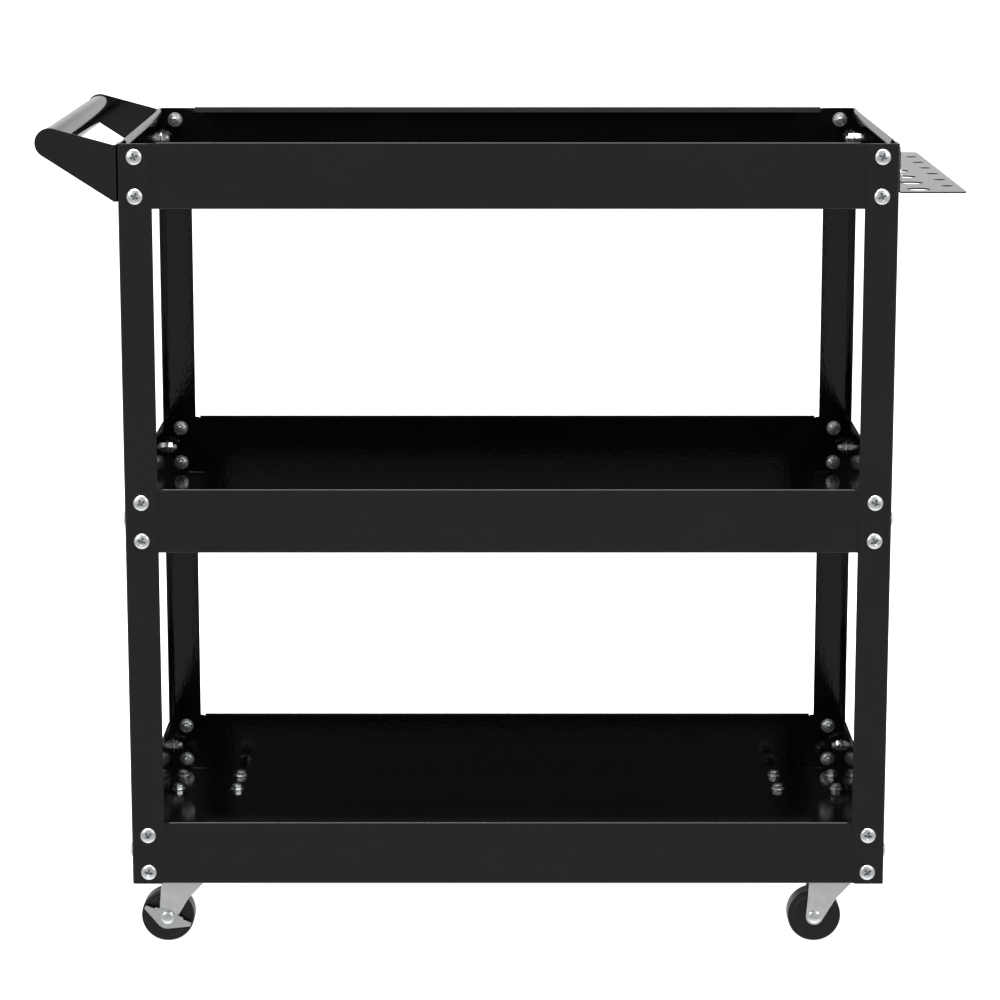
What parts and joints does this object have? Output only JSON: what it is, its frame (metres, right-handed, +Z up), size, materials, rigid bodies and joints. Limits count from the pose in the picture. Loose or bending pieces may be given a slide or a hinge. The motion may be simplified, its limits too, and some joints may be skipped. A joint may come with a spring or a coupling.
{
  "type": "rolling tool cart",
  "caption": "Open rolling tool cart: folded sheet trays bolted to angle posts, with a push handle, a perforated tool rack, swivel casters and brake levers.",
  "frame": {"origin": "on the ground, under the centre of the overall bounding box", "axes": "+X along the cart from the handle to the tool rack, +Y from the front face to the back face, +Z up"},
  "size_m": [0.8355, 0.3998, 0.7745],
  "materials": {
    "black_powder_coat": "gloss",
    "zinc_plated_steel": "satin",
    "galvanised_steel": "satin",
    "black_wheel_plastic": "matte"
  },
  "bodies": {
    "frame": {"post_front_left": "black_powder_coat", "post_front_right": "black_powder_coat", "post_back_left": "black_powder_coat", "post_back_right": "black_powder_coat", "tray_top_walls": "black_powder_coat", "tray_middle_walls": "black_powder_coat", "tray_bottom_walls": "black_powder_coat", "tray_top_floor": "black_powder_coat", "tray_middle_floor": "black_powder_coat", "tray_bottom_floor": "black_powder_coat", "handle_bracket_front": "black_powder_coat", "handle_bracket_back": "black_powder_coat", "handle_grip": "black_powder_coat", "tool_rack": "black_powder_coat", "bolt_top_front_left_upper": "zinc_plated_steel", "bolt_top_front_left_lower": "zinc_plated_steel", "bolt_top_front_right_upper": "zinc_plated_steel", "bolt_top_front_right_lower": "zinc_plated_steel", "bolt_top_back_left_upper": "zinc_plated_steel", "bolt_top_back_left_lower": "zinc_plated_steel", "bolt_top_back_right_upper": "zinc_plated_steel", "bolt_top_back_right_lower": "zinc_plated_steel", "bolt_middle_front_left_upper": "zinc_plated_steel", "bolt_middle_front_left_lower": "zinc_plated_steel", "bolt_middle_front_right_upper": "zinc_plated_steel", "bolt_middle_front_right_lower": "zinc_plated_steel", "bolt_middle_back_left_upper": "zinc_plated_steel", "bolt_middle_back_left_lower": "zinc_plated_steel", "bolt_middle_back_right_upper": "zinc_plated_steel", "bolt_middle_back_right_lower": "zinc_plated_steel", "bolt_bottom_front_left_upper": "zinc_plated_steel", "bolt_bottom_front_left_lower": "zinc_plated_steel", "bolt_bottom_front_right_upper": "zinc_plated_steel", "bolt_bottom_front_right_lower": "zinc_plated_steel", "bolt_bottom_back_left_upper": "zinc_plated_steel", "bolt_bottom_back_left_lower": "zinc_plated_steel", "bolt_bottom_back_right_upper": "zinc_plated_steel", "bolt_bottom_back_right_lower": "zinc_plated_steel", "caster_plate_front_left": "galvanised_steel", "caster_plate_back_left": "galvanised_steel", "caster_plate_front_right": "galvanised_steel", "caster_plate_back_right": "galvanised_steel", "caster_kingpin_front_left": "zinc_plated_steel", "caster_kingpin_back_left": "zinc_plated_steel", "caster_kingpin_front_right": "zinc_plated_steel", "caster_kingpin_back_right": "zinc_plated_steel"},
    "fork_front_left": {"caster_fork_front_left": "galvanised_steel", "caster_axle_front_left": "zinc_plated_steel"},
    "fork_back_left": {"caster_fork_back_left": "galvanised_steel", "caster_axle_back_left": "zinc_plated_steel"},
    "fork_front_right": {"caster_fork_front_right": "galvanised_steel", "caster_axle_front_right": "zinc_plated_steel"},
    "fork_back_right": {"caster_fork_back_right": "galvanised_steel", "caster_axle_back_right": "zinc_plated_steel"},
    "wheel_front_left": {"caster_wheel_front_left": "black_wheel_plastic"},
    "wheel_back_left": {"caster_wheel_back_left": "black_wheel_plastic"},
    "wheel_front_right": {"caster_wheel_front_right": "black_wheel_plastic"},
    "wheel_back_right": {"caster_wheel_back_right": "black_wheel_plastic"},
    "brake_front_left": {"brake_lever_front_left": "zinc_plated_steel"},
    "brake_back_left": {"brake_lever_back_left": "zinc_plated_steel"}
  },
  "joints": [
    {"name": "swivel_front_left", "type": "hinge", "parent": "frame", "child": "fork_front_left", "pos_m": [-0.30075, -0.141, 0.0646], "axis": [0, 0, 1], "continuous": true},
    {"name": "swivel_back_left", "type": "hinge", "parent": "frame", "child": "fork_back_left", "pos_m": [-0.30075, 0.141, 0.0646], "axis": [0, 0, 1], "continuous": true},
    {"name": "swivel_front_right", "type": "hinge", "parent": "frame", "child": "fork_front_right", "pos_m": [0.31225, -0.141, 0.0646], "axis": [0, 0, 1], "continuous": true},
    {"name": "swivel_back_right", "type": "hinge", "parent": "frame", "child": "fork_back_right", "pos_m": [0.31225, 0.141, 0.0646], "axis": [0, 0, 1], "continuous": true},
    {"name": "wheel_spin_front_left", "type": "hinge", "parent": "fork_front_left", "child": "wheel_front_left", "pos_m": [-0.31675, -0.141, 0.025], "axis": [0, 1, 0], "continuous": true},
    {"name": "wheel_spin_back_left", "type": "hinge", "parent": "fork_back_left", "child": "wheel_back_left", "pos_m": [-0.31675, 0.141, 0.025], "axis": [0, 1, 0], "continuous": true},
    {"name": "wheel_spin_front_right", "type": "hinge", "parent": "fork_front_right", "child": "wheel_front_right", "pos_m": [0.29625, -0.141, 0.025], "axis": [0, 1, 0], "continuous": true},
    {"name": "wheel_spin_back_right", "type": "hinge", "parent": "fork_back_right", "child": "wheel_back_right", "pos_m": [0.29625, 0.141, 0.025], "axis": [0, 1, 0], "continuous": true},
    {"name": "brake_rock_front_left", "type": "hinge", "parent": "fork_front_left", "child": "brake_front_left", "pos_m": [-0.31675, -0.141, 0.025], "axis": [0, -1, 0], "range_deg": [0, 44]},
    {"name": "brake_rock_back_left", "type": "hinge", "parent": "fork_back_left", "child": "brake_back_left", "pos_m": [-0.31675, 0.141, 0.025], "axis": [0, -1, 0], "range_deg": [0, 44]}
  ]
}
